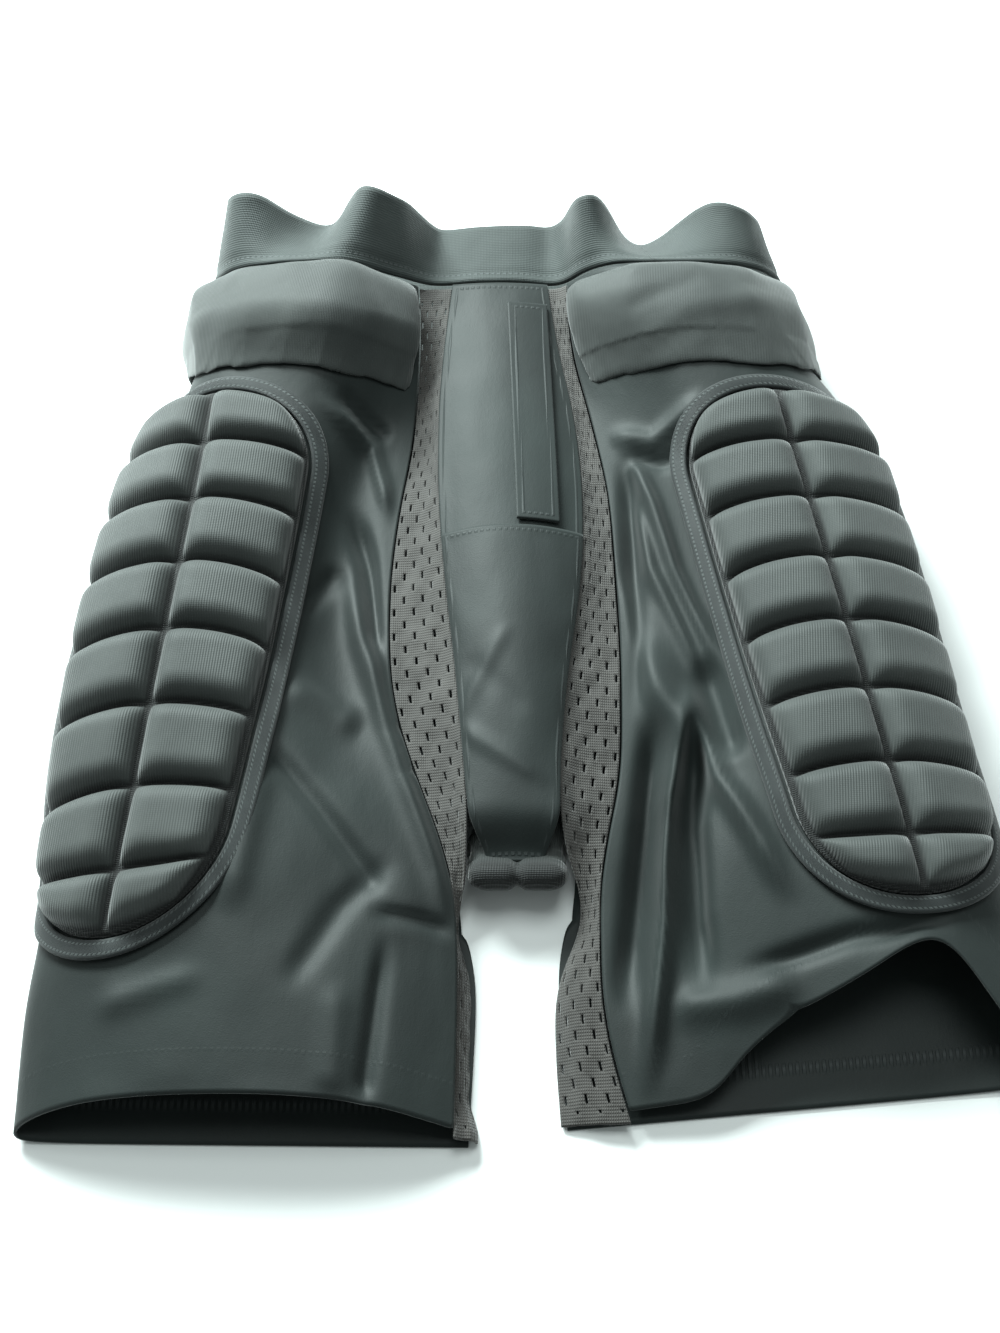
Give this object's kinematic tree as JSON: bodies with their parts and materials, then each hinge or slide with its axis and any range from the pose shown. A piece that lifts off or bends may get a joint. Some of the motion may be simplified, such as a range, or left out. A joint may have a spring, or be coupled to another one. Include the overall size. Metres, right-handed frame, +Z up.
{
  "type": "padded protective shorts",
  "caption": "Stretch shorts with a wide elastic waistband, ventilated inner strips and sewn-on cellular foam pads for the hips, thighs and tailbone, lying on their back.",
  "frame": {"origin": "under the middle of the outline, on the surface that the shorts lie on", "axes": "+X across, to the right as seen from the hems; +Y from the hems to the waistband; +Z up, out of the front of the shorts"},
  "size_m": [0.4876, 0.5548, 0.0822],
  "materials": {
    "waist_elastic": "matte woven elastic",
    "stretch_cloth": "soft sheen stretch knit",
    "knit_mesh": "matte open knit",
    "hip_pad_cloth": "smooth stretch knit over foam",
    "ribbed_pad_cloth": "fine ribbed knit over foam",
    "binding_tape": "satin binding tape"
  },
  "bodies": {
    "root": {"waistband": "waist_elastic", "front_panel": "stretch_cloth", "pouch_panel": "stretch_cloth", "fly_placket": "stretch_cloth", "left_leg": "stretch_cloth", "right_leg": "stretch_cloth", "left_mesh_strip": "knit_mesh", "right_mesh_strip": "knit_mesh", "left_hip_pad": "hip_pad_cloth", "right_hip_pad": "hip_pad_cloth", "left_thigh_pad": "ribbed_pad_cloth", "right_thigh_pad": "ribbed_pad_cloth", "tailbone_pad": "ribbed_pad_cloth", "left_thigh_binding": "binding_tape", "right_thigh_binding": "binding_tape"}
  },
  "joints": []
}
